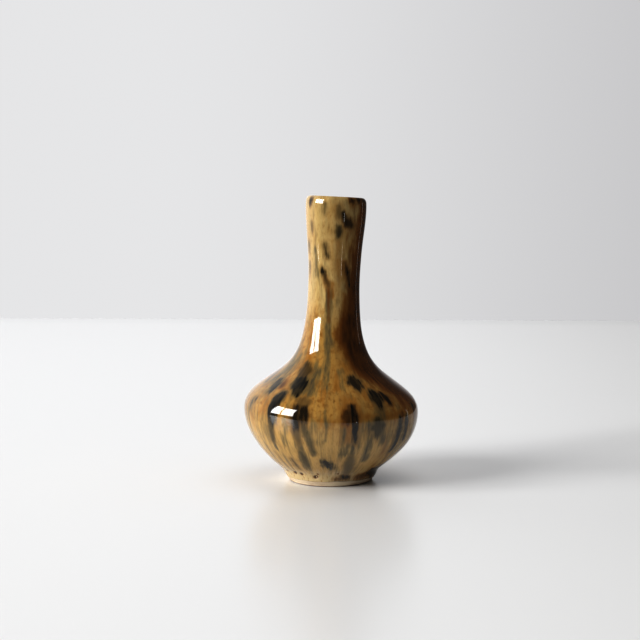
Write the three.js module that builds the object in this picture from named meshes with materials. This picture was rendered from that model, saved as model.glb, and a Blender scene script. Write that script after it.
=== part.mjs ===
// A ceramic bud vase: a thrown bottle form with a wide belly, a long neck and a turned foot ring,
// glazed outside, over the lip and inside, with bare clay at the base.
// Millimetres, +Z up, origin at the middle of the foot ring's resting face. The neck leans towards +X.

import * as THREE from "three";

// Driving dimensions of the outside, each a radius and a height above the resting face.
const HEIGHT = 140;
const REST = { radius: 20.7, rounding: 0.8 };
const GLAZE_LINE = { radius: 22.4, height: 3 };
const FOOT_TOP = { radius: 24.1, height: 6.3, rise: 37.5, pull: 10 };
const BELLY = { radius: 43.1, height: 35.2, pullBelow: 13.3, pullAbove: 8.5 };
const SHOULDER = { radius: 25.6, height: 54.5, rise: 142.5, pull: 12 };
const NECK = { radius: 12.7, height: 100, pullBelow: 28, pullAbove: 15 };
const RIM = { radius: 14.8, height: 137, rise: 93, pull: 8.5 };

// The wall, the coats of glaze and the hollow.
const WALL = 4.3;
const GLAZE = 0.6;
const GAP = 0.3;
const LIP_OVERLAP = 4;
const FLOOR = { height: 9.5, radius: 17, blend: 8 };
const RECESS = { radius: 15.6, height: 3, chamfer: 1.2 };

// How far the thrown form departs from a true turned one.
const LEAN = { reach: 2.9, power: 1.6 };
const TILT = { degrees: 1.9, from: 3, to: 25 };
const RIM_TILT = { degrees: 1.0, from: 115, to: 140 };

// How finely the form is cut, around and along each stretch of its profile.
const SEGMENTS = 40;
const STEPS = { corner: 3, foot: 1, underside: 6, crown: 7, shoulder: 6, neck: 4, lip: 8, floor: 4 };

const point = ({ radius, height }) => new THREE.Vector2(radius, height);
const polar = (degrees, length) => {
  const angle = THREE.MathUtils.degToRad(degrees);
  return new THREE.Vector2(Math.cos(angle), Math.sin(angle)).multiplyScalar(length);
};

// Points along a run of curves, each curve with its own number of steps.
function trace(...stretches) {
  return stretches.flatMap(([curve, steps], i) => curve.getPoints(steps).slice(i ? 1 : 0));
}

// One stretch of outline that leaves `start` and reaches `end` along two directions.
function sweep(start, startRise, startPull, end, endRise, endPull) {
  return new THREE.CubicBezierCurve(
    start,
    start.clone().add(polar(startRise, startPull)),
    end.clone().sub(polar(endRise, endPull)),
    end,
  );
}

// The outline moved square to itself, into the wall, which lies on the left of its direction.
function inset(points, distance) {
  return points.map((p, i) => {
    const before = points[Math.max(i - 1, 0)];
    const after = points[Math.min(i + 1, points.length - 1)];
    const along = after.clone().sub(before).normalize();
    return new THREE.Vector2(p.x - along.y * distance, p.y + along.x * distance);
  });
}

function stepTowards(from, to, distance) {
  return from.clone().add(to.clone().sub(from).setLength(distance));
}

// The outside, from the glaze line on the foot up to where the lip begins to round over.
const bareEdge = stepTowards(point(GLAZE_LINE), point(REST), GAP);
const outside = [
  bareEdge,
  ...trace(
    [new THREE.LineCurve(point(GLAZE_LINE), point(FOOT_TOP)), STEPS.foot],
    [
      sweep(
        point(FOOT_TOP), FOOT_TOP.rise, FOOT_TOP.pull,
        point(BELLY), 90, BELLY.pullBelow,
      ),
      STEPS.underside,
    ],
    [
      sweep(
        point(BELLY), 90, BELLY.pullAbove,
        point(SHOULDER), SHOULDER.rise, SHOULDER.pull,
      ),
      STEPS.crown,
    ],
    [
      sweep(
        point(SHOULDER), SHOULDER.rise, SHOULDER.pull,
        point(NECK), 90, NECK.pullBelow,
      ),
      STEPS.shoulder,
    ],
    [
      sweep(point(NECK), 90, NECK.pullAbove, point(RIM), RIM.rise, RIM.pull),
      STEPS.neck,
    ],
  ),
];

// The lip rounds over from the outside of the wall to the inside.
const lip = new THREE.EllipseCurve(
  RIM.radius - WALL / 2, RIM.height,
  WALL / 2, HEIGHT - RIM.height,
  0, Math.PI,
).getPoints(STEPS.lip);

// The inside follows the outside at the wall's thickness, then flattens into the floor.
const floorEdge = new THREE.Vector2(FLOOR.radius, FLOOR.height);
const followed = inset(outside, WALL)
  .filter((p) => p.y > FLOOR.height + FLOOR.blend && p.y < RIM.height - LIP_OVERLAP)
  .reverse();
const wallFoot = followed[followed.length - 1];
const wallRise = wallFoot.clone().sub(followed[followed.length - 2]);
const floorBlend = new THREE.QuadraticBezierCurve(
  wallFoot,
  wallFoot.clone().add(wallRise.setLength(FLOOR.blend)),
  floorEdge,
).getPoints(STEPS.floor);
const seam = new THREE.Vector2(RIM.radius - WALL, RIM.height - LIP_OVERLAP);
const linerEdge = stepTowards(seam, followed[0], GAP);
const inside = [linerEdge, ...followed, ...floorBlend.slice(1), new THREE.Vector2(0, FLOOR.height)];

const skin = [...outside, ...lip.slice(1), seam, ...inside];

// A point's place in the thrown form: each ring of it is tipped and carried sideways by its height.
function thrown(x, y, z) {
  const tip =
    TILT.degrees * THREE.MathUtils.smoothstep(z, TILT.from, TILT.to) +
    RIM_TILT.degrees * THREE.MathUtils.smoothstep(z, RIM_TILT.from, RIM_TILT.to);
  const angle = THREE.MathUtils.degToRad(tip);
  const shift = LEAN.reach * Math.max(z / HEIGHT, 0) ** LEAN.power;
  return [shift + x * Math.cos(angle), y, z - x * Math.sin(angle)];
}

function turned(name, profile, material) {
  const geometry = new THREE.LatheGeometry(profile, SEGMENTS).rotateX(Math.PI / 2);
  const position = geometry.getAttribute("position");
  for (let i = 0; i < position.count; i += 1) {
    position.setXYZ(i, ...thrown(position.getX(i), position.getY(i), position.getZ(i)));
  }
  geometry.computeVertexNormals();
  const mesh = new THREE.Mesh(geometry, material);
  mesh.name = name;
  return mesh;
}

// The fired clay: the recess underneath, the foot ring, the bare band, then the wall under its glaze.
function clayBody() {
  const ring = [
    new THREE.Vector2(0, RECESS.height),
    new THREE.Vector2(RECESS.radius, RECESS.height),
    new THREE.Vector2(RECESS.radius, RECESS.chamfer),
    new THREE.Vector2(RECESS.radius + RECESS.chamfer, 0),
  ];
  const corner = new THREE.EllipseCurve(
    REST.radius - REST.rounding, REST.rounding,
    REST.rounding, REST.rounding,
    -Math.PI / 2, 0,
  ).getPoints(STEPS.corner);
  const wall = inset(skin, GLAZE + GAP);
  const clay = new THREE.MeshStandardMaterial({ color: "#c8a88c", roughness: 0.85, metalness: 0 });
  return turned("clay_body", [...ring, ...corner, bareEdge, ...wall], clay);
}

// A coat of glaze on part of the skin, closed by its own inner face.
function coat(name, points, material) {
  const profile = [...inset(points, GLAZE).reverse(), ...points];
  const closes = points.at(-1).x > 0 ? [profile[0].clone()] : [];
  return turned(name, [...profile, ...closes], material);
}

function outerGlaze() {
  const glaze = new THREE.MeshStandardMaterial({ color: "#a5752f", roughness: 0.1, metalness: 0 });
  return coat("outer_glaze", skin.slice(1, skin.indexOf(seam) + 1), glaze);
}

function linerGlaze() {
  const glaze = new THREE.MeshStandardMaterial({ color: "#9a7440", roughness: 0.15, metalness: 0 });
  return coat("liner_glaze", inside, glaze);
}

const vase = new THREE.Group();
vase.add(clayBody(), outerGlaze(), linerGlaze());

export default vase;
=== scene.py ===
# A ceramic bud vase, glazed in honey and ochre with dark dabs, on a pale table beside a window.
# Driving dimensions are the CAD part's own, in millimetres. Every mesh is built in metres.
# The outer glaze's marks are strokes written onto its vertices, and its material feathers them.

import math
import random

import bpy
import numpy as np
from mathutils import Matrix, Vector


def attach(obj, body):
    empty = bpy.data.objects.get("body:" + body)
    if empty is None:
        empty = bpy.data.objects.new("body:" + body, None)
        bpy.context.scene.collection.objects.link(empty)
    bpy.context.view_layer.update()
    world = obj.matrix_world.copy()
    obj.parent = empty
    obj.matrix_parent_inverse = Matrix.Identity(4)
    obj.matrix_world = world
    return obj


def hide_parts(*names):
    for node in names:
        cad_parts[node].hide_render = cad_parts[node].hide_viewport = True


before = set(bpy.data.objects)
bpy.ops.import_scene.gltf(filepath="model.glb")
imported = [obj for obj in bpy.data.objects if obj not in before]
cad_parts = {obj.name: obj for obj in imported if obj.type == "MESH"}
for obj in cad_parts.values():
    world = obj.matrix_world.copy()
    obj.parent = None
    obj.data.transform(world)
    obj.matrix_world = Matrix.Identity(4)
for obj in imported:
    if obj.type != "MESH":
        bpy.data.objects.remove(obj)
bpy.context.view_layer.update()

MM = 0.001  # in metres
CM = 10  # in millimetres

# The outside of the vase: radii and heights above the resting face. A rise is a curve's direction
# in degrees, where 90 is straight up, and a pull is how far off its control point lies.
HEIGHT = 140
REST = {"radius": 20.7, "rounding": 0.8}
GLAZE_LINE = {"radius": 22.4, "height": 3}
FOOT_TOP = {"radius": 24.1, "height": 6.3, "rise": 37.5, "pull": 10}
BELLY = {"radius": 43.1, "height": 35.2, "pull_below": 13.3, "pull_above": 8.5}
SHOULDER = {"radius": 25.6, "height": 54.5, "rise": 142.5, "pull": 12}
NECK = {"radius": 12.7, "height": 100, "pull_below": 28, "pull_above": 15}
RIM = {"radius": 14.8, "height": 137, "rise": 93, "pull": 8.5}
UPRIGHT = 90

# The wall, the coats of glaze and the hollow.
WALL = 4.3
GLAZE = 0.6
JOINT = 0.06  # between a coat of glaze and the clay under it
LIP_OVERLAP = 4
FLOOR = {"height": 9.5, "radius": 17, "blend": 8}
RECESS = {"radius": 15.6, "height": 3, "bevel_in": 0.6, "bevel_down": 0.4, "chamfer": 1.2, "bulge": 0.35}
CREASE = 1.6  # how far from the foot's corner its glaze starts to fill it
GROOVES = {"depth": 0.12, "turn": 2.4}  # the tool's marks in the recess, with radians a millimetre

# How far the thrown form departs from a true turned one.
LEAN = {"reach": 2.9, "power": 1.6}
TILT = {"degrees": 1.9, "from": 3, "to": 25}
RIM_TILT = {"degrees": 1.0, "from": 115, "to": 140}
OVAL, THREE_LOBED, THROWING_RINGS = 0.10, 0.05, 0.035  # how far the radius swells, in millimetres
# Waves round the pot in the glaze's lower edge: how many, how high and their phase.
EDGE_WAVES = [(3, 0.22, 1), (7, 0.13, 0), (17, 0.06, 0)]
EDGE_REACH = 1.6

# Mesh density: segments round the axis, and the spacing of the rings in millimetres.
OUTER = {"segments": 336, "spacing": 0.72, "foot_spacing": 0.36, "past_foot": 3, "hidden_spacing": 4}
LINER = {"segments": 160, "spacing": 1.6}
CLAY = {"segments": 192, "spacing": 2.0, "lip_spacing": 1, "keep_every": 6}
FINE_SPACING = 0.5
LIP_POINTS = 30
NEAR_AXIS = 0.5  # the clay drops its points nearer the axis than this, and closes with one on it


# ---------------------------------------------------------------- profiles, in millimetres


def point(place):
    return np.array([place["radius"], place["height"]], float)


def polar(degrees, length):
    angle = math.radians(degrees)
    return np.array([math.cos(angle), math.sin(angle)]) * length


def smoothstep(value, start, end):
    t = np.clip((value - start) / (end - start), 0, 1)
    return t * t * (3 - 2 * t)


def bezier(*controls, steps=60):
    """Points along the Bezier curve with these control points."""
    points = np.array(controls)[:, None, :]
    t = np.linspace(0, 1, steps)[:, None]
    while len(points) > 1:
        points = points[:-1] * (1 - t) + points[1:] * t
    return points[0]


def sweep(start, start_rise, start_pull, end, end_rise, end_pull):
    """One stretch of outline that leaves start and reaches end along two directions."""
    return bezier(start, start + polar(start_rise, start_pull), end - polar(end_rise, end_pull), end)


def run_lengths(points):
    """The length of the profile from its start to each of its points."""
    return np.concatenate([[0], np.cumsum(np.linalg.norm(np.diff(points, axis=0), axis=1))])


def at_lengths(points, lengths):
    along = run_lengths(points)
    return np.stack([np.interp(lengths, along, points[:, i]) for i in (0, 1)], axis=1)


def respaced(points, spacing):
    """The same profile with its points about one spacing apart."""
    total = run_lengths(points)[-1]
    return at_lengths(points, np.linspace(0, total, max(2, round(total / spacing) + 1)))


def inset(points, distance):
    """The profile moved square to itself, into the wall, which lies on the left of its direction."""
    along = np.gradient(points, axis=0)
    along /= np.linalg.norm(along, axis=1)[:, None]
    return points + np.stack([-along[:, 1], along[:, 0]], axis=1) * distance


def rounded_end(start, end, steps=6):
    """The points between start and end on a half circle that bulges to the right of that direction."""
    middle, arm = (start + end) / 2, (start - end) / 2
    side = np.array([-arm[1], arm[0]])
    turn = np.linspace(0, math.pi, steps + 2)[1:-1, None]
    return middle + arm * np.cos(turn) + side * np.sin(turn)


def filled_corner(points, corner, reach):
    """The profile with a curve in place of the corner, from reach before it to reach after it."""
    along = run_lengths(points)
    middle = along[np.argmin(np.linalg.norm(points - corner, axis=1))]
    start, end = at_lengths(points, [middle - reach, middle + reach])
    curve = bezier(start, corner, end, steps=12)
    return np.concatenate([points[along < middle - reach], curve, points[along > middle + reach]])


def outside():
    """The outside of the glaze, from its lower edge on the foot up to where the lip rounds over."""
    glaze_line, foot_top, belly = point(GLAZE_LINE), point(FOOT_TOP), point(BELLY)
    shoulder, neck, rim = point(SHOULDER), point(NECK), point(RIM)
    rise, pull = SHOULDER["rise"], SHOULDER["pull"]
    stretches = [
        bezier(glaze_line, foot_top),
        sweep(foot_top, FOOT_TOP["rise"], FOOT_TOP["pull"], belly, UPRIGHT, BELLY["pull_below"]),
        sweep(belly, UPRIGHT, BELLY["pull_above"], shoulder, rise, pull),
        sweep(shoulder, rise, pull, neck, UPRIGHT, NECK["pull_below"]),
        sweep(neck, UPRIGHT, NECK["pull_above"], rim, RIM["rise"], RIM["pull"]),
    ]
    joined = np.concatenate([stretch[:-1] for stretch in stretches] + [rim[None]])
    return filled_corner(joined, foot_top, CREASE)


def lip():
    """The lip, rounding over from the outside of the wall to its inside, and down to the seam."""
    turn = np.linspace(0, math.pi, LIP_POINTS)
    middle = np.array([RIM["radius"] - WALL / 2, RIM["height"]])
    over = middle + np.stack([np.cos(turn) * WALL / 2, np.sin(turn) * (HEIGHT - RIM["height"])], axis=1)
    return np.concatenate([over, [seam()]])


def seam():
    """Where the outer glaze meets the liner, a little way into the mouth."""
    return np.array([RIM["radius"] - WALL, RIM["height"] - LIP_OVERLAP])


def inside():
    """The hollow: it follows the outside at the wall's thickness, then flattens into the floor."""
    followed = inset(respaced(outside(), FINE_SPACING), WALL)
    low, high = FLOOR["height"] + FLOOR["blend"], RIM["height"] - LIP_OVERLAP
    followed = followed[(followed[:, 1] > low) & (followed[:, 1] < high)][::-1]
    last = followed[-1]
    fall = (last - followed[-2]) / np.linalg.norm(last - followed[-2])
    edge = np.array([FLOOR["radius"], FLOOR["height"]])
    blend = bezier(last, last + fall * FLOOR["blend"], edge, steps=24)
    return np.concatenate([[seam()], followed, blend[1:], [[0, FLOOR["height"]]]])


# ---------------------------------------------------------------- from a profile to a mesh


def hand_made(angle, radius, height):
    """A small unevenness of the thrower's hand, as a change of radius and of height."""
    fade = smoothstep(height, 2, 14) * np.minimum(radius / 10, 1)
    oval = OVAL * np.sin(2 * angle + 0.6 + height / 40)
    lobes = THREE_LOBED * np.sin(3 * angle - height / 23)
    rings = THROWING_RINGS * np.sin(height / 3.4 + angle)
    near_edge = np.exp(-(((height - GLAZE_LINE["height"]) / EDGE_REACH) ** 2))
    wander = sum(size * np.sin(count * angle + phase) for count, size, phase in EDGE_WAVES)
    return (oval + lobes + rings) * fade, wander * near_edge * smoothstep(height, 0.6, 2)


def thrown(x, y, z):
    """A point's place in the thrown form: each ring is tipped and carried sideways by its height."""
    tip = TILT["degrees"] * smoothstep(z, TILT["from"], TILT["to"])
    tip = np.radians(tip + RIM_TILT["degrees"] * smoothstep(z, RIM_TILT["from"], RIM_TILT["to"]))
    shift = LEAN["reach"] * np.maximum(z / HEIGHT, 0) ** LEAN["power"]
    return np.stack([shift + x * np.cos(tip), y, z - x * np.sin(tip)], axis=1)


def rings_of(profile, segments):
    """Each vertex's angle, radius and height. Angle 0 faces -Y and grows towards +X.
    A profile end on the axis is one vertex, and the other points are rings."""
    turn = np.linspace(-math.pi, math.pi, segments, endpoint=False)
    rows = [(turn if radius > 0 else turn[:1], radius, height) for radius, height in profile]
    angle = np.concatenate([row[0] for row in rows])
    radius = np.concatenate([np.full(len(row[0]), row[1]) for row in rows])
    height = np.concatenate([np.full(len(row[0]), row[2]) for row in rows])
    return angle, radius, height, [len(row[0]) for row in rows]


def ring_faces(counts, closed):
    """The faces between neighbouring rings, which are triangles where one ring is a single vertex."""
    starts = np.concatenate([[0], np.cumsum(counts)[:-1]])
    pairs = list(zip(range(len(counts) - 1), range(1, len(counts))))
    if closed:
        pairs.append((len(counts) - 1, 0))
    faces = []
    for low, high in pairs:
        around = max(counts[low], counts[high])
        here = np.arange(around)
        after = (here + 1) % around
        a, b = starts[low] + here % counts[low], starts[low] + after % counts[low]
        c, d = starts[high] + after % counts[high], starts[high] + here % counts[high]
        columns = [a, b, c, d]
        if counts[low] == 1:
            columns = [a, c, d]
        elif counts[high] == 1:
            columns = [a, b, c]
        faces.extend(np.stack(columns, axis=1).tolist())
    return faces


def turned(name, profile, segments, dents=None):
    """A piece turned round the vase's axis. dents gives how deep the surface is sunk, in
    millimetres, at each angle, radius and height. Returns the piece with those three."""
    angle, radius, height, counts = rings_of(profile, segments)
    outward, upward = hand_made(angle, radius, height)
    if dents is not None:
        outward = outward - dents(angle, radius, height)
    r, z = radius + outward, height + upward
    places = thrown(r * np.sin(angle), -r * np.cos(angle), z) * MM
    mesh = bpy.data.meshes.new(name)
    mesh.from_pydata(places.tolist(), [], ring_faces(counts, closed=profile[0][0] > 0))
    mesh.shade_smooth()
    piece = bpy.data.objects.new(name, mesh)
    bpy.context.scene.collection.objects.link(piece)
    return piece, angle, radius, height


def write_attribute(piece, name, values, kind="FLOAT"):
    attribute = piece.data.attributes.new(name, kind, "POINT")
    key = "vector" if kind == "FLOAT_VECTOR" else "value"
    attribute.data.foreach_set(key, np.asarray(values, np.float32).ravel())


# ---------------------------------------------------------------- where the glaze is marked

# A dab is a stroke from its upper end to its lower end, each an angle in degrees and a height in
# millimetres, then its width in millimetres, how dark it is and how brown, from 0 to 1.
SHOULDER_DABS = [
    (-85, 55, -74, 49, 2.5, 0.55, 0.2),
    (-54, 51, -53, 46.5, 4.0, 0.85, 0.1),
    (-46, 51, -46, 49, 1.6, 0.6, 0.9),
    (-34, 58, -31, 54, 5.6, 0.65, 0.3),
    (-30, 52.5, -27.5, 48, 7.2, 0.95, 0.1),
    (22, 53.5, 24, 51, 6.0, 0.8, 0.3),
    (34, 48, 34.5, 43, 5.2, 1.0, 0.2),
    (42, 47, 44, 44, 3.6, 0.85, 0.7),
]
BELLY_DABS = [
    (-66, 42, -66, 38, 1.6, 0.6, 0.1),
    (-62, 42, -62, 41, 1.0, 0.7, 0.3),
    (-38.5, 46, -41, 42, 5.0, 1.0, 0.1),
    (-40, 42, -41, 34, 5.4, 1.0, 0.2),
    (-42, 33, -43, 24, 2.0, 0.6, 0.1),
    (-22, 44, -17, 43.5, 4.0, 0.45, 0.3),
    (-22.5, 41, -23, 32, 5.0, 0.85, 0.5),
    (-18, 41.5, -18, 35.5, 4.2, 0.85, 0.5),
    (-18, 35, -17, 29, 2.0, 0.55, 0.1),
    (-23, 32, -21, 25, 2.4, 0.4, 0.2),
    (-15, 30, -12, 20, 1.6, 0.7, 0.0),
    (9.5, 39.5, 9.5, 36, 3.6, 0.65, 0.9),
    (14, 42, 14.5, 35.5, 4.4, 1.0, 0.7),
    (15, 36, 15.5, 27, 2.4, 0.95, 0.3),
    (30.5, 35, 31.5, 31.5, 6.2, 0.65, 0.0),
    (52, 38, 52, 37, 2.2, 0.5, 1.0),
    (50, 36, 49, 20, 2.8, 0.9, 0.1),
    (57, 36, 58, 26, 2.6, 0.8, 0.1),
    (70, 41, 70, 39, 2.8, 0.9, 0.6),
]
LOW_DABS = [
    (-5, 14.8, 0.5, 12, 3.8, 0.95, 0.0),
    (-22, 19, -22, 11, 2.8, 0.6, 0.0),
    (-33, 15, -32, 10, 1.2, 0.6, 0.2),
    (15, 17, 17, 9, 3.6, 0.4, 0.0),
    (14, 6, 20, 5, 2.2, 0.9, 0.4),
    (32, 5.2, 50, 5.5, 1.6, 0.55, 0.8),
    (50, 7.5, 98, 7, 6.0, 1.0, 0.6),
    (6, 4.4, 13, 4.2, 0.7, 0.6, 0.6),
]
NECK_DABS = [
    (-57, 138.5, -57, 137, 1.8, 0.95, 0.4),
    (-21, 136, -22, 132, 1.2, 0.45, 0.0),
    (-55, 127, -54, 124, 1.4, 0.4, 0.2),
    (-70, 117, -70, 114, 1.2, 0.5, 0.1),
    (-70, 107, -70, 103, 1.2, 0.5, 0.1),
    (-22.5, 117, -17, 111, 0.9, 0.8, 0.2),
    (-25.5, 104.5, -24, 103, 1.8, 0.9, 0.2),
    (-23, 102.5, -13, 97, 0.8, 0.7, 0.5),
    (5, 135, 6, 131, 1.3, 0.4, 0.2),
    (6, 125, 7, 122, 2.6, 0.7, 0.1),
    (13, 132, 17, 129, 2.0, 0.8, 0.3),
    (20, 128.5, 31, 126.5, 3.0, 0.8, 0.5),
    (31, 139, 34, 138, 2.0, 0.95, 0.8),
    (48, 139, 85, 138, 1.8, 0.9, 0.8),
    (23, 108, 36.5, 97.5, 1.3, 0.85, 0.7),
]
# Soft stains, where colour ran down from a dab: smoke is olive and grey, and rust is red-brown. The widest
# smoke mark, on the left shoulder, is painted shade.
# A stain is the same kind of stroke, and ends with its width and its strength.
SMOKE_AND_SHADE = [
    (-13, 98, -10, 84, 3.6, 0.9),
    (-10, 88, -7, 68, 4.8, 0.75),
    (-8, 70, -5, 50, 5.0, 0.6),
    (-19, 56, -17, 48, 8.5, 0.9),
    (-42, 114, -42.5, 102, 4.4, 0.6),
    (-42, 34, -43, 20, 3.2, 0.9),
    (-31, 36, -32, 22, 3.4, 0.5),
    (-23, 35, -22, 16, 5.0, 0.7),
    (-18, 36, -13, 19, 3.6, 0.9),
    (-11, 34, -9, 26, 5.0, 0.6),
    (-4, 40, -3, 27, 3.2, 0.6),
    (8, 36, 8, 20, 4.4, 0.6),
    (14, 24, 17, 6, 6.4, 0.7),
    (25, 34, 27, 16, 5.0, 0.8),
    (33, 40, 36, 26, 6.0, 0.7),
    (45, 34, 47, 16, 4.6, 0.4),
    (56, 36, 55, 15, 5.0, 0.5),
    (10, 57, 10, 50, 5.0, 0.6),
    (24, 62, 34, 54, 8.0, 0.5),
    # Painted shade: a wide olive darkening on the left shoulder, where its reflection falls off.
    (-66, 62, -62, 52, 15.0, 0.8),
    (-28, 74, -24, 60, 4.0, 0.5),
    (-58, 46, -55, 40, 4.0, 0.4),
    (80, 40, 80, 16, 12.0, 0.8),
]
RUST = [
    (-4.5, 98, -4, 92, 3.4, 1.0),
    (12, 122, 14, 100, 9.0, 0.45),
    (5, 55, 5, 50, 5.0, 0.8),
    (23, 93, 28, 85, 4.4, 1.0),
    (-33, 57, -26, 50, 10.0, 0.7),
    (-60, 38, -30, 38, 5.0, 0.4),
    (12, 45, 13, 40, 10.0, 0.8),
    (9, 34, 9, 26, 7.0, 0.9),
    (42, 28, 42, 14, 14.0, 0.5),
    (12, 38, 56, 38, 4.4, 0.9),
    (-10, 36, 12, 36, 3.6, 0.6),
    (24, 60, 30, 50, 10.0, 0.8),
    (-2, 74, 2, 56, 6.0, 0.2),
    (18, 84, 20, 60, 8.0, 0.45),
    (-40, 74, -36, 60, 7.0, 0.6),
    (40, 46, 62, 42, 6.0, 0.6),
]
# Stains where the glaze lies thick and dark brown. The wide ones on the right, from bearing 27 round to
# 100, are painted shade on the side away from the window.
DEEP_AND_SHADE = [
    (74, 142, 75, 98, 20.5, 1.0),
    (77, 100, 76, 84, 18.0, 1.0),
    (75, 84, 66, 66, 20.5, 1.0),
    (32, 80, 38, 60, 9.0, 0.7),
    (27, 74, 38, 56, 10.0, 0.5),
    (64, 70, 70, 50, 30.0, 1.0),
    (46, 60, 58, 51, 11.0, 0.8),
    (60, 50, 78, 44, 14.0, 0.5),
    (-11, 98, -9, 80, 2.6, 0.45),
    (60, 6, 100, 6, 8.0, 0.8),
]
# Pinholes in the glaze near the foot: an angle, a height, a width and a depth.
PITS = [
    (-68, 7.5, 1.4, 0.30),
    (-59, 6.6, 1.2, 0.30),
    (-44, 6.6, 1.7, 0.40),
    (-35, 6.4, 1.7, 0.40),
    (-18, 5.4, 1.8, 0.35),
    (-16, 5.6, 1.5, 0.35),
    (-14, 7.2, 1.2, 0.25),
    (8, 7.6, 1.0, 0.20),
]
PIT = {"rim": 0.7, "floor": 0.2, "stain": 3}  # in widths from its middle, then how much darker a pinhole's colour is per millimetre of its depth
RUN_DOWN, RUN_UP = 0.7, 0.95  # how much a distance counts below a mark, and above it
FAR = 6.0  # a distance past which a dab no longer matters, in millimetres
MELT = 0.5  # how near each other two dabs start to run together, in millimetres
STAIN_REACH = 0.8  # how far a stain reaches from its middle line, in widths

# The back: rows of dabs, each with its height, length, width and darkness, and dabs up the neck.
BACK = {"from": 100.0, "to": 262, "runs_above": 20}
BACK_ROWS = [(52, 6, 4.2, 0.9), (40, 7, 3.4, 0.95), (14, 5, 2.8, 0.85)]
BACK_NECK = {"dabs": 14, "top": 136, "drop": 5.2, "from": 105, "turn": 67, "round": 150}


def back_marks():
    """Dabs and stains for the side that faces away from the camera, in the same manner."""
    rng = random.Random(11)
    dabs, smoke, rust = [], [], []
    for height, length, width, depth in BACK_ROWS:
        angle = BACK["from"]
        while angle < BACK["to"]:
            top = height + rng.uniform(-4, 4)
            low = top - length * rng.uniform(0.4, 1.2)
            slant = rng.uniform(-4, 4)
            dark, brown = depth * rng.uniform(0.7, 1.0), rng.uniform(0, 0.9)
            dabs.append((angle, top, angle + slant, low, width * rng.uniform(0.5, 1.2), dark, brown))
            if height > BACK["runs_above"]:
                run = rng.uniform(6, 18)
                smoke.append((angle + slant, low, angle + 1.5 * slant, low - run, width * 0.8, 0.8))
                rust.append((angle, top + 2, angle + slant, low, width * 2, rng.uniform(0.2, 0.8)))
            angle += rng.uniform(12, 24)
    for step in range(BACK_NECK["dabs"]):
        top = BACK_NECK["top"] - BACK_NECK["drop"] * step
        angle = BACK_NECK["from"] + (step * BACK_NECK["turn"]) % BACK_NECK["round"]
        low = top - rng.uniform(3, 9)
        dabs.append((angle, top, angle + rng.uniform(-6, 10), low, rng.uniform(1.2, 2.6), 0.8, 0.4))
        smoke.append((angle, low, angle + 4, low - 14, 3, 0.7))
    return dabs, smoke, rust


def stroke_distance(mark, angle, along, radius, arc_at):
    """How far each vertex is from a mark's middle line, over the surface, in millimetres, and how
    far down that line. Distance counts for less below the mark, because glaze runs down from it."""
    top_angle, top, low_angle, low = mark[:4]
    middle = math.radians((top_angle + low_angle) / 2)
    half = math.radians(low_angle - top_angle) / 2
    across = (angle - middle + math.pi) % (2 * math.pi) - math.pi
    x, y = radius * across, along - arc_at(top)
    line_x, line_y = radius * half * 2, arc_at(low) - arc_at(top)
    from_x = x + radius * half
    t = np.clip((from_x * line_x + y * line_y) / (line_x**2 + line_y**2 + 1e-9), 0, 1)
    off = y - t * line_y
    off = np.where(off < 0, off * RUN_DOWN, off * RUN_UP)
    return np.hypot(from_x - t * line_x, off), t


def dab_fields(dabs, where):
    """The distance to the nearest dab's edge, negative inside, with that dab's darkness and brown."""
    distance = np.full(len(where[0]), FAR)
    weight, dark, brown = (np.full(len(distance), 1e-6) for _ in range(3))
    for mark in dabs:
        width, depth, warmth = mark[4:]
        middle, t = stroke_distance(mark, *where)
        edge = np.minimum(middle - width / 2 * (0.8 + 0.4 * np.sin(math.pi * t)), FAR)
        near = np.exp(-np.maximum(edge, -2) * 2)
        weight, dark, brown = weight + near, dark + near * depth, brown + near * warmth
        step = np.clip(0.5 + 0.5 * (distance - edge) / MELT, 0, 1)  # a smooth minimum
        distance = distance + (edge - distance) * step - MELT * step * (1 - step)
    return distance, dark / weight, brown / weight


def stain_field(stains, where):
    """How stained the glaze is, from 0 to 1."""
    clear = np.ones(len(where[0]))
    for mark in stains:
        width, strength = mark[4:]
        middle, _ = stroke_distance(mark, *where)
        clear *= 1 - strength * smoothstep(middle, width * STAIN_REACH, 0)
    return 1 - clear


def pit_depth(angle, radius, height):
    """How deep the pinholes are sunk at each vertex, in millimetres."""
    depth = np.zeros(len(angle))
    for degrees, level, width, deep in PITS:
        across = radius * (angle - math.radians(degrees))
        distance = np.hypot(across, height - level)
        depth += deep * smoothstep(distance, width * PIT["rim"], width * PIT["floor"])
    return depth


def mark_glaze(piece, angle, radius, height):
    """Writes onto the outer glaze what its material reads at each vertex."""
    up_to_crest = lip()[1 : LIP_POINTS // 2]
    profile = np.concatenate([outside(), up_to_crest])
    arcs = run_lengths(profile)

    def arc_at(level):
        return np.interp(level, profile[:, 1], arcs)

    along = arc_at(height)
    where = (angle, along, radius, arc_at)
    more_dabs, more_smoke, more_rust = back_marks()
    dabs = SHOULDER_DABS + BELLY_DABS + LOW_DABS + NECK_DABS + more_dabs
    distance, dark, brown = dab_fields(dabs, where)
    write_attribute(piece, "dab", distance)
    write_attribute(piece, "dark", dark)
    write_attribute(piece, "brown", brown)
    # smoke: olive stains, with the painted shade on the left shoulder.
    write_attribute(piece, "smoke", stain_field(SMOKE_AND_SHADE + more_smoke, where))
    write_attribute(piece, "rust", stain_field(RUST + more_rust, where))
    # deep: thick dark glaze, and painted shade down the right side.
    write_attribute(piece, "deep", stain_field(DEEP_AND_SHADE, where))
    write_attribute(piece, "pit", np.clip(pit_depth(angle, radius, height) * PIT["stain"], 0, 1))
    flow = np.stack([np.cos(angle), np.sin(angle), along / CM], axis=1)
    write_attribute(piece, "flow", flow, "FLOAT_VECTOR")
    write_attribute(piece, "level", height)


# ---------------------------------------------------------------- shader nodes


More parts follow.
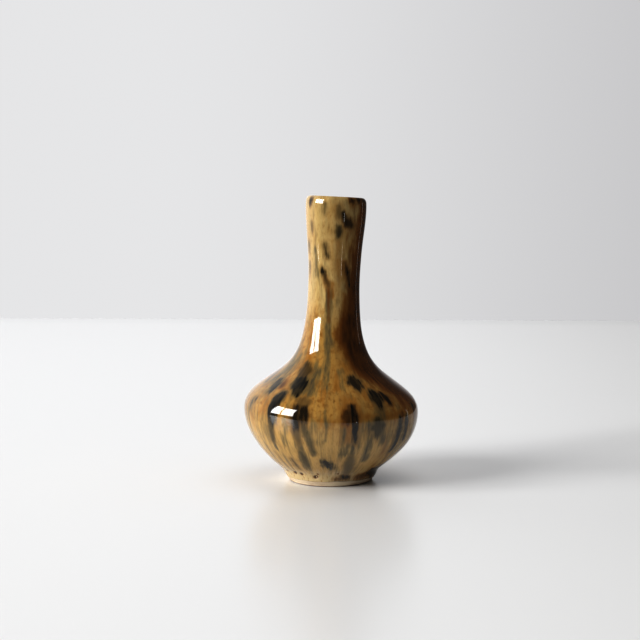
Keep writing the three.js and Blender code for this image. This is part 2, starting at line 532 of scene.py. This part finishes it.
class Nodes:
    """A node tree built by short calls, most of which return an output socket."""

    def __init__(self, owner):
        owner.use_nodes = True
        self.tree = owner.node_tree
        self.tree.nodes.clear()

    def add(self, kind, inputs=(), **settings):
        made = self.tree.nodes.new(kind)
        for name, value in settings.items():
            setattr(made, name, value)
        for key, value in dict(inputs).items():
            if isinstance(value, bpy.types.NodeSocket):
                self.tree.links.new(value, made.inputs[key])
            else:
                made.inputs[key].default_value = value
        return made

    def read(self, attribute, output="Fac"):
        return self.add("ShaderNodeAttribute", attribute_name=attribute).outputs[output]

    def sum(self, a, b):
        return self.add("ShaderNodeMath", {0: a, 1: b}, operation="ADD").outputs[0]

    def times(self, a, b):
        return self.add("ShaderNodeMath", {0: a, 1: b}, operation="MULTIPLY").outputs[0]

    def dot(self, a, b):
        return self.add("ShaderNodeVectorMath", {0: a, 1: b}, operation="DOT_PRODUCT").outputs["Value"]

    def component(self, vector, axis):
        return self.add("ShaderNodeSeparateXYZ", {0: vector}).outputs[axis]

    def scaled(self, vector, scale):
        inputs = {"Vector": vector, "Scale": scale}
        return self.add("ShaderNodeMapping", inputs).outputs[0]

    def noise(self, vector, scale, detail=2.0, roughness=0.5):
        inputs = {"Vector": vector, "Scale": scale, "Detail": detail, "Roughness": roughness}
        return self.add("ShaderNodeTexNoise", inputs).outputs["Fac"]

    def step(self, value, start, end, low=0.0, high=1.0):
        """A smooth change from low at start to high at end."""
        inputs = {"Value": value, "From Min": start, "From Max": end, "To Min": low, "To Max": high}
        return self.add("ShaderNodeMapRange", inputs, interpolation_type="SMOOTHSTEP").outputs[0]

    def mix(self, a, b, amount):
        inputs = {0: amount, 6: a, 7: b}
        return self.add("ShaderNodeMix", inputs, data_type="RGBA").outputs[2]

    def mix_numbers(self, a, b, amount):
        return self.add("ShaderNodeMix", {0: amount, 2: a, 3: b}).outputs[0]

    def bump(self, height, distance):
        inputs = {"Height": height, "Distance": distance, "Strength": 1.0}
        return self.add("ShaderNodeBump", inputs).outputs[0]

    def surface(self, **inputs):
        """A Principled surface as the material's output; an input's name has _ for its spaces."""
        named = {name.replace("_", " "): value for name, value in inputs.items()}
        shader = self.add("ShaderNodeBsdfPrincipled", named)
        self.add("ShaderNodeOutputMaterial", {"Surface": shader.outputs[0]})


def colour(red, green, blue):
    return (red, green, blue, 1.0)


# The glaze's colours, as linear light.
STRAW = colour(0.475, 0.345, 0.148)
HONEY = colour(0.47, 0.300, 0.102)
OCHRE = colour(0.375, 0.214, 0.056)
CREAM = colour(0.53, 0.412, 0.228)
AMBER = colour(0.28, 0.127, 0.023)
OLIVE = colour(0.135, 0.100, 0.040)
SLATE = colour(0.055, 0.047, 0.030)
CHESTNUT = colour(0.145, 0.050, 0.006)
UMBER = colour(0.029, 0.0095, 0.0018)
INK = colour(0.0050, 0.0042, 0.0028)
CLAY_COLOUR = colour(0.65, 0.545, 0.400)
CLAY_TOAST = colour(0.42, 0.28, 0.17)
# Painted shade: the dark brown of a contact shadow along the clay's resting edge.
CLAY_CONTACT_SHADE = colour(0.10, 0.045, 0.022)

GLAZE_IOR = 1.56
# How high the bumps of each surface stand, in metres.
GLAZE_BUMP, LINER_BUMP, CLAY_BUMP = 0.00004, 0.00008, 0.00012
# The outer glaze's flow attribute goes round each level in a circle of radius 1, and counts
# centimetres down the pot. Scaled by a radius in centimetres, it gives noise that is as fine round
# the pot as down it at that radius.
NECK_ROUND, BELLY_ROUND = 1.3, 4.0
ON_BELLY = (BELLY_ROUND, BELLY_ROUND, 1)


def streaks(nodes, flow, per_cm, down):
    """Noise drawn out down the glaze, equally fine on the slim neck and on the wide belly."""
    on_neck = nodes.noise(nodes.scaled(flow, (NECK_ROUND, NECK_ROUND, down)), per_cm)
    on_belly = nodes.noise(nodes.scaled(flow, (BELLY_ROUND, BELLY_ROUND, down)), per_cm)
    height = nodes.component(flow, "Z")
    return nodes.mix_numbers(on_belly, on_neck, nodes.step(height, 6.2, 8.2))


def glaze_ground(nodes, flow):
    """The glaze between its marks: straw on the neck, ochre and amber on the shoulder, honey with
    olive runs under the belly, and cream where it is thin on the foot."""
    level = nodes.read("level")
    fine = streaks(nodes, flow, 6.0, 0.2)
    broad = streaks(nodes, flow, 2.2, 0.22)
    cloud = streaks(nodes, flow, 1.2, 0.8)
    mottle = streaks(nodes, flow, 5.5, 0.7)
    fibre = streaks(nodes, flow, 14.0, 0.3)
    shoulder = nodes.times(nodes.step(level, 24, 44), nodes.step(level, 94, 68, low=0.2))
    ground = nodes.mix(HONEY, STRAW, nodes.step(level, 68, 92))
    warm = nodes.sum(shoulder, nodes.times(nodes.sum(broad, -0.5), 1.8))
    ground = nodes.mix(ground, OCHRE, nodes.step(warm, 0.0, 0.9))
    patchy = nodes.sum(cloud, nodes.times(mottle, 0.6))
    ground = nodes.mix(ground, AMBER, nodes.times(shoulder, nodes.step(patchy, 0.72, 1.0, high=0.85)))
    brown = nodes.sum(nodes.times(broad, 0.4), mottle)
    ground = nodes.mix(ground, CHESTNUT, nodes.times(shoulder, nodes.step(brown, 0.68, 0.98, high=0.6)))
    ground = nodes.mix(ground, OLIVE, nodes.step(fine, 0.45, 0.75, high=0.38))
    ground = nodes.mix(ground, CHESTNUT, nodes.step(fibre, 0.48, 0.80, high=0.35))
    runs = nodes.step(streaks(nodes, flow, 3.2, 0.12), 0.44, 0.68, high=0.75)
    ground = nodes.mix(ground, OLIVE, nodes.times(runs, nodes.step(level, 50, 34, low=0.3)))
    edge = nodes.sum(level, nodes.times(fine, 6.0))
    foot = nodes.mix(CREAM, AMBER, nodes.step(mottle, 0.52, 0.70, high=0.6))
    return nodes.mix(foot, ground, nodes.step(edge, 7.0, 14.0, low=0.08))


def marked_glaze(nodes, ground, flow):
    """The stains and the dabs over the ground, with edges feathered down the pot."""
    feather = streaks(nodes, flow, 6.0, 0.2)
    grain = streaks(nodes, flow, 4.0, 0.8)
    broken = streaks(nodes, flow, 2.4, 0.4)
    rust = nodes.sum(nodes.read("rust"), nodes.times(nodes.sum(broken, -0.5), 1.6))
    stained = nodes.mix(ground, AMBER, nodes.step(rust, 0.15, 1.0, high=0.85))
    stained = nodes.mix(stained, CHESTNUT, nodes.step(rust, 0.65, 1.25, high=0.5))
    # Smoke, with the painted shade on the left shoulder, turns olive and slate.
    smoke = nodes.sum(nodes.read("smoke"), nodes.times(nodes.sum(feather, -0.5), 1.5))
    stained = nodes.mix(stained, OLIVE, nodes.step(smoke, 0.15, 0.80, high=0.85))
    stained = nodes.mix(stained, SLATE, nodes.step(smoke, 0.55, 1.15, high=0.85))
    # Thick dark glaze, and the painted shade down the right side, turn chestnut and umber.
    uneven = nodes.sum(nodes.times(broken, 0.6), nodes.times(feather, 0.6))
    deep = nodes.sum(nodes.read("deep"), nodes.sum(uneven, -0.6))
    stained = nodes.mix(stained, CHESTNUT, nodes.step(deep, 0.1, 0.75))
    stained = nodes.mix(stained, UMBER, nodes.step(deep, 0.6, 1.2, high=0.9))
    dark, brown = nodes.read("dark"), nodes.read("brown")
    ragged = nodes.sum(nodes.times(feather, 3.8), nodes.times(grain, 1.6))
    distance = nodes.sum(nodes.sum(nodes.read("dab"), ragged), -2.8)
    halo = nodes.times(nodes.step(distance, 2.6, 0.0), nodes.step(brown, 0.0, 0.9, low=0.2, high=0.8))
    halo = nodes.times(halo, nodes.step(nodes.read("deep"), 0.7, 0.2))
    stained = nodes.mix(stained, AMBER, halo)
    fringe = nodes.times(nodes.step(distance, 1.9, -0.7), nodes.step(dark, 0.2, 0.8, low=0.5, high=0.95))
    stained = nodes.mix(stained, nodes.mix(OLIVE, CHESTNUT, brown), fringe)
    body = nodes.times(nodes.step(distance, 0.9, -1.3), nodes.step(dark, 0.35, 0.95, low=0.3))
    stained = nodes.mix(stained, INK, nodes.times(body, nodes.step(feather, 0.62, 0.38, low=0.8)))
    # The pinholes' colour darkens with their depth, to chestnut and then umber.
    pit = nodes.read("pit")
    stained = nodes.mix(stained, CHESTNUT, nodes.step(pit, 0.0, 0.5, high=0.8))
    return nodes.mix(stained, UMBER, nodes.step(pit, 0.5, 1.0, high=0.8))


def outer_glaze_material():
    material = bpy.data.materials.new("dappled_glaze")
    nodes = Nodes(material)
    flow = nodes.read("flow", "Vector")
    colours = marked_glaze(nodes, glaze_ground(nodes, flow), flow)
    ripple = nodes.noise(nodes.scaled(flow, ON_BELLY), 1.5, detail=1)
    peel = nodes.noise(nodes.scaled(flow, ON_BELLY), 14.0, detail=2)
    nodes.surface(
        Base_Color=colours,
        Roughness=nodes.step(peel, 0.3, 0.8, low=0.015, high=0.05),
        IOR=GLAZE_IOR,
        Normal=nodes.bump(nodes.sum(ripple, nodes.times(peel, 0.03)), GLAZE_BUMP),
    )
    return material


def liner_glaze_material():
    material = bpy.data.materials.new("liner_glaze")
    nodes = Nodes(material)
    flow = nodes.read("flow", "Vector")
    wash = nodes.noise(nodes.scaled(flow, (2, 2, 0.25)), 2.0, detail=4)
    pool = nodes.noise(nodes.scaled(flow, (2, 2, 1)), 5.0, detail=3)
    colours = nodes.mix(HONEY, AMBER, nodes.step(wash, 0.40, 0.68))
    colours = nodes.mix(colours, OLIVE, nodes.step(pool, 0.55, 0.75, high=0.7))
    nodes.surface(
        Base_Color=colours,
        Roughness=nodes.step(pool, 0.3, 0.8, low=0.10, high=0.22),
        Coat_Weight=0.6,
        Coat_Roughness=0.04,
        Normal=nodes.bump(wash, LINER_BUMP),
    )
    return material


def clay_material():
    material = bpy.data.materials.new("bare_clay")
    nodes = Nodes(material)
    flow = nodes.read("flow", "Vector")
    speck = nodes.noise(nodes.scaled(flow, ON_BELLY), 16.0, detail=3, roughness=0.7)
    cloud = nodes.noise(nodes.scaled(flow, ON_BELLY), 1.3, detail=3)
    colours = nodes.mix(CLAY_COLOUR, CLAY_TOAST, nodes.step(cloud, 0.45, 0.75, low=0.05, high=0.5))
    colours = nodes.mix(colours, CLAY_TOAST, nodes.step(speck, 0.62, 0.74, high=0.8))
    height = nodes.component(flow, "Z")
    # Painted shade: the clay turns dark brown in its lowest 0.6 mm, as a contact shadow where the foot
    # rests.
    contact_shade_edge = nodes.sum(height, nodes.times(cloud, -0.04))
    colours = nodes.mix(colours, CLAY_CONTACT_SHADE, nodes.step(contact_shade_edge, 0.06, 0.0, high=0.85))
    nodes.surface(
        Base_Color=colours,
        Roughness=nodes.step(speck, 0.3, 0.7, low=0.78, high=0.95),
        Normal=nodes.bump(speck, CLAY_BUMP),
    )
    return material


# ---------------------------------------------------------------- the three pieces


def shell(visible, hidden_spacing, thickness):
    """A closed profile for a coat of glaze: its visible face, and the face that meets the clay."""
    hidden = inset(respaced(visible, hidden_spacing), thickness)[::-1]
    start = rounded_end(hidden[-1], visible[0])
    end = rounded_end(visible[-1], hidden[0])
    return np.concatenate([visible, end, hidden, start])


def outer_glaze():
    """The coat outside, over the lip and a little way into the mouth, with finer rings at the foot."""
    outline = outside()
    along = run_lengths(outline)
    split = np.interp(FOOT_TOP["height"] + OUTER["past_foot"], outline[:, 1], along)
    low = respaced(outline[along <= split], OUTER["foot_spacing"])
    high = respaced(np.concatenate([outline[along > split], lip()[1:]]), OUTER["spacing"])
    visible = np.concatenate([low, high])
    profile = shell(visible, OUTER["hidden_spacing"], GLAZE)
    piece, angle, radius, height = turned("outer_glaze_coat", profile, OUTER["segments"], pit_depth)
    mark_glaze(piece, angle, radius, height)
    piece.data.materials.append(outer_glaze_material())
    put_in_frame(piece, "outer_glaze")


def liner_glaze():
    """The coat inside, from the seam in the mouth down to the middle of the floor."""
    visible = respaced(inside(), LINER["spacing"])
    hidden = inset(visible, GLAZE)
    hidden[-1] = [0, FLOOR["height"] - GLAZE]
    edge = rounded_end(hidden[0], visible[0])
    profile = np.concatenate([hidden[::-1], edge, visible])
    piece, angle, radius, height = turned("liner_glaze_coat", profile, LINER["segments"])
    flow = np.stack([np.cos(angle) * radius, np.sin(angle) * radius, height], axis=1) / CM
    write_attribute(piece, "flow", flow, "FLOAT_VECTOR")
    piece.data.materials.append(liner_glaze_material())
    put_in_frame(piece, "liner_glaze")


def underside():
    """The clay's recess, with the turning tool's grooves, its foot ring and its outer corner."""
    radii = np.linspace(0, RECESS["radius"] - RECESS["bevel_in"], 60)
    depth = GROOVES["depth"] * np.sin(radii * GROOVES["turn"]) * smoothstep(radii, 0, 2)
    corner = np.linspace(-math.pi / 2, 0, 9)
    middle = np.array([REST["radius"] - REST["rounding"], REST["rounding"]])
    rounding = middle + np.stack([np.cos(corner), np.sin(corner)], axis=1) * REST["rounding"]
    side, chamfer, bulge = RECESS["radius"], RECESS["chamfer"], RECESS["bulge"]
    inner_edge = [
        [side, RECESS["height"] - RECESS["bevel_down"]],
        [side, chamfer],
        [side + chamfer * bulge, chamfer * bulge],
        [side + chamfer, 0],
    ]
    ceiling = np.stack([radii, RECESS["height"] + depth], axis=1)
    return np.concatenate([ceiling, inner_edge, rounding])


def clay_body():
    """The fired clay: the skin of the whole pot, sunk under the glaze everywhere above its line."""
    over_lip = respaced(lip(), CLAY["lip_spacing"])[1:]
    hollow = inside()[1 :: CLAY["keep_every"]]
    skin = np.concatenate([respaced(outside(), CLAY["spacing"]), over_lip, hollow])
    under_glaze = inset(skin, GLAZE + JOINT)
    under_glaze = under_glaze[under_glaze[:, 0] > NEAR_AXIS]
    ledge = point(GLAZE_LINE) - [GLAZE / 2, GLAZE / 2 + JOINT]
    bare = bezier(np.array([REST["radius"], REST["rounding"]]), ledge, steps=8)[1:]
    tucked = [[under_glaze[0][0], ledge[1]]]
    top = [[0, FLOOR["height"] - GLAZE - JOINT]]
    profile = np.concatenate([underside(), bare, tucked, under_glaze, top])
    piece, angle, radius, height = turned("clay_wall", profile, CLAY["segments"])
    share = radius / (BELLY_ROUND * CM)  # so that ON_BELLY scales it back to centimetres
    flow = np.stack([np.cos(angle) * share, np.sin(angle) * share, height / CM], axis=1)
    write_attribute(piece, "flow", flow, "FLOAT_VECTOR")
    piece.data.materials.append(clay_material())
    put_in_frame(piece, "clay_body")


def put_in_frame(piece, node):
    """Puts a piece on the vase's one body, in place of its plain CAD node."""
    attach(piece, "root")
    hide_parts(node)


# ---------------------------------------------------------------- table, window, room and camera

# Lengths here are in metres and angles in degrees. A radiance of 1 is as bright as plain white.
TABLE = {"left": -0.9, "right": 0.42, "front": -0.28, "back": 0.885, "skew": -0.041, "fade": 0.08}
CAMERA = {"distance": 0.65, "height": 0.138, "lens": 74.4, "down": 5.16, "left": 0.46}
# The window's panes, each from one bearing to another. Bearing 0 is -Y and grows towards +X.
PANES = [(-85, -70.4), (-68.5, -50.5)]
WINDOW = {"distance": 6.0, "low": 6.8, "high": 36, "radiance": 19.5}
# Two thin gaps of light low in the room: bearing, width, low and high in degrees, then radiance.
GAPS = [(33.2, 0.8, -9, -3.4, 11.0), (119, 1.2, -12, 12, 1.8)]
GAP_DISTANCE = 3.0
WALL_SIDE = Vector((-0.64, 0.77, 0.0)).normalized()  # where the room is at its brightest
SOFTBOX = {"right": 1.0, "height": 3.0, "side": 3.0, "radiance": 1.7}
# The room as the vase sees it: its pale walls and its dim side. Then the wall as the camera sees it.
ROOM_BRIGHT = colour(1.17, 1.18, 1.21)
ROOM_DIM = colour(0.09, 0.085, 0.08)
WALL_LIT = colour(0.835, 0.835, 0.843)
WALL_SHADED = colour(0.613, 0.610, 0.620)
# The table top, and its far edge darkened with painted shade towards the wall.
LACQUER = colour(0.72, 0.72, 0.717)
LACQUER_SHADED_FAR = colour(0.665, 0.665, 0.663)
GAMMA = 0.76  # of the whole picture


def bearing(degrees, distance, height):
    """The place at this bearing and this distance from the vase's axis."""
    angle = math.radians(degrees)
    return Vector((distance * math.sin(angle), -distance * math.cos(angle), height))


def add_pane(name, left, right, low, high, distance, radiance):
    """A lit rectangle that faces the vase, between two bearings and two elevations."""
    bottom, top = (distance * math.tan(math.radians(degrees)) for degrees in (low, high))
    middle = bearing((left + right) / 2, distance, (bottom + top) / 2)
    light = bpy.data.lights.new(name, "AREA")
    light.shape = "RECTANGLE"
    light.size = 2 * distance * math.tan(math.radians(right - left) / 2)
    light.size_y = top - bottom
    light.energy = radiance * math.pi * light.size * light.size_y
    pane = bpy.data.objects.new(name, light)
    pane.location = middle
    pane.rotation_euler = (-middle.xy.to_3d()).to_track_quat("-Z", "Y").to_euler()
    pane.visible_camera = False
    bpy.context.scene.collection.objects.link(pane)


def add_window():
    """The window on the left in its two panes, and the thin gaps of light on the right."""
    for left, right in PANES:
        place = WINDOW["low"], WINDOW["high"], WINDOW["distance"], WINDOW["radiance"]
        add_pane("window_pane", left, right, *place)
    for middle, width, low, high, radiance in GAPS:
        left, right = middle - width / 2, middle + width / 2
        add_pane("gap_light", left, right, low, high, GAP_DISTANCE, radiance)


def add_softbox():
    """A wide soft light overhead, which fills the shadows and isn't mirrored in the glaze."""
    light = bpy.data.lights.new("softbox", "AREA")
    light.size = SOFTBOX["side"]
    light.energy = SOFTBOX["radiance"] * math.pi * light.size**2
    softbox = bpy.data.objects.new("softbox", light)
    softbox.location = (SOFTBOX["right"], 0, SOFTBOX["height"])
    softbox.visible_camera = False
    softbox.visible_glossy = False
    bpy.context.scene.collection.objects.link(softbox)


def add_table():
    """The table top. Its far edge is a little skew to the camera, and darkens towards the wall as painted
    shade.
    """
    left, right, front = TABLE["left"], TABLE["right"], TABLE["front"]
    far_left, far_right = (TABLE["back"] + TABLE["skew"] * side for side in (left, right))
    corners = [(left, front, 0), (right, front, 0), (right, far_right, 0), (left, far_left, 0)]
    mesh = bpy.data.meshes.new("table_top")
    mesh.from_pydata(corners, [], [(0, 1, 2, 3)])
    table = bpy.data.objects.new("table_top", mesh)
    bpy.context.scene.collection.objects.link(table)
    material = bpy.data.materials.new("pale_lacquer")
    nodes = Nodes(material)
    place = nodes.add("ShaderNodeTexCoord").outputs["Object"]
    away = nodes.dot(place, (-TABLE["skew"], 1, 0))
    # Painted shade: the lacquer darkens over the last 8 cm before the far edge.
    near_edge = nodes.step(away, TABLE["back"] - TABLE["fade"], TABLE["back"])
    top = nodes.mix(LACQUER, LACQUER_SHADED_FAR, near_edge)
    nodes.surface(Base_Color=top, Roughness=0.28, IOR=1.35)
    mesh.materials.append(material)


def add_room():
    """The room's own light: a pale wall behind and to the left, and dim towards the front right.
    What the camera sees past the table is the plain wall, whichever way it looks."""
    world = bpy.data.worlds.new("room")
    bpy.context.scene.world = world
    nodes = Nodes(world)
    way = nodes.add("ShaderNodeTexCoord").outputs["Generated"]
    facing = nodes.dot(way, WALL_SIDE)
    glow = nodes.mix(ROOM_DIM, ROOM_BRIGHT, nodes.step(facing, 0.35, 0.85))
    sideways = nodes.component(way, "X")
    wall = nodes.mix(WALL_LIT, WALL_SHADED, nodes.step(sideways, -0.15, 0.4))
    seen = nodes.add("ShaderNodeLightPath").outputs["Is Camera Ray"]
    background = nodes.add("ShaderNodeBackground", {"Color": nodes.mix(glow, wall, seen), "Strength": 1.0})
    nodes.add("ShaderNodeOutputWorld", {"Surface": background.outputs[0]})


def add_camera():
    """The camera in front of the vase, looking a little down and to the left."""
    data = bpy.data.cameras.new("camera")
    data.lens = CAMERA["lens"]
    data.clip_start = 0.01
    camera = bpy.data.objects.new("camera", data)
    camera.location = bearing(0, CAMERA["distance"], CAMERA["height"])
    camera.rotation_euler = (math.radians(90 - CAMERA["down"]), 0, math.radians(CAMERA["left"]))
    bpy.context.scene.collection.objects.link(camera)
    bpy.context.scene.camera = camera


outer_glaze()
liner_glaze()
clay_body()
add_table()
add_window()
add_softbox()
add_room()
add_camera()
bpy.context.scene.view_settings.view_transform = "Standard"
bpy.context.scene.view_settings.gamma = GAMMA
bpy.context.view_layer.update()
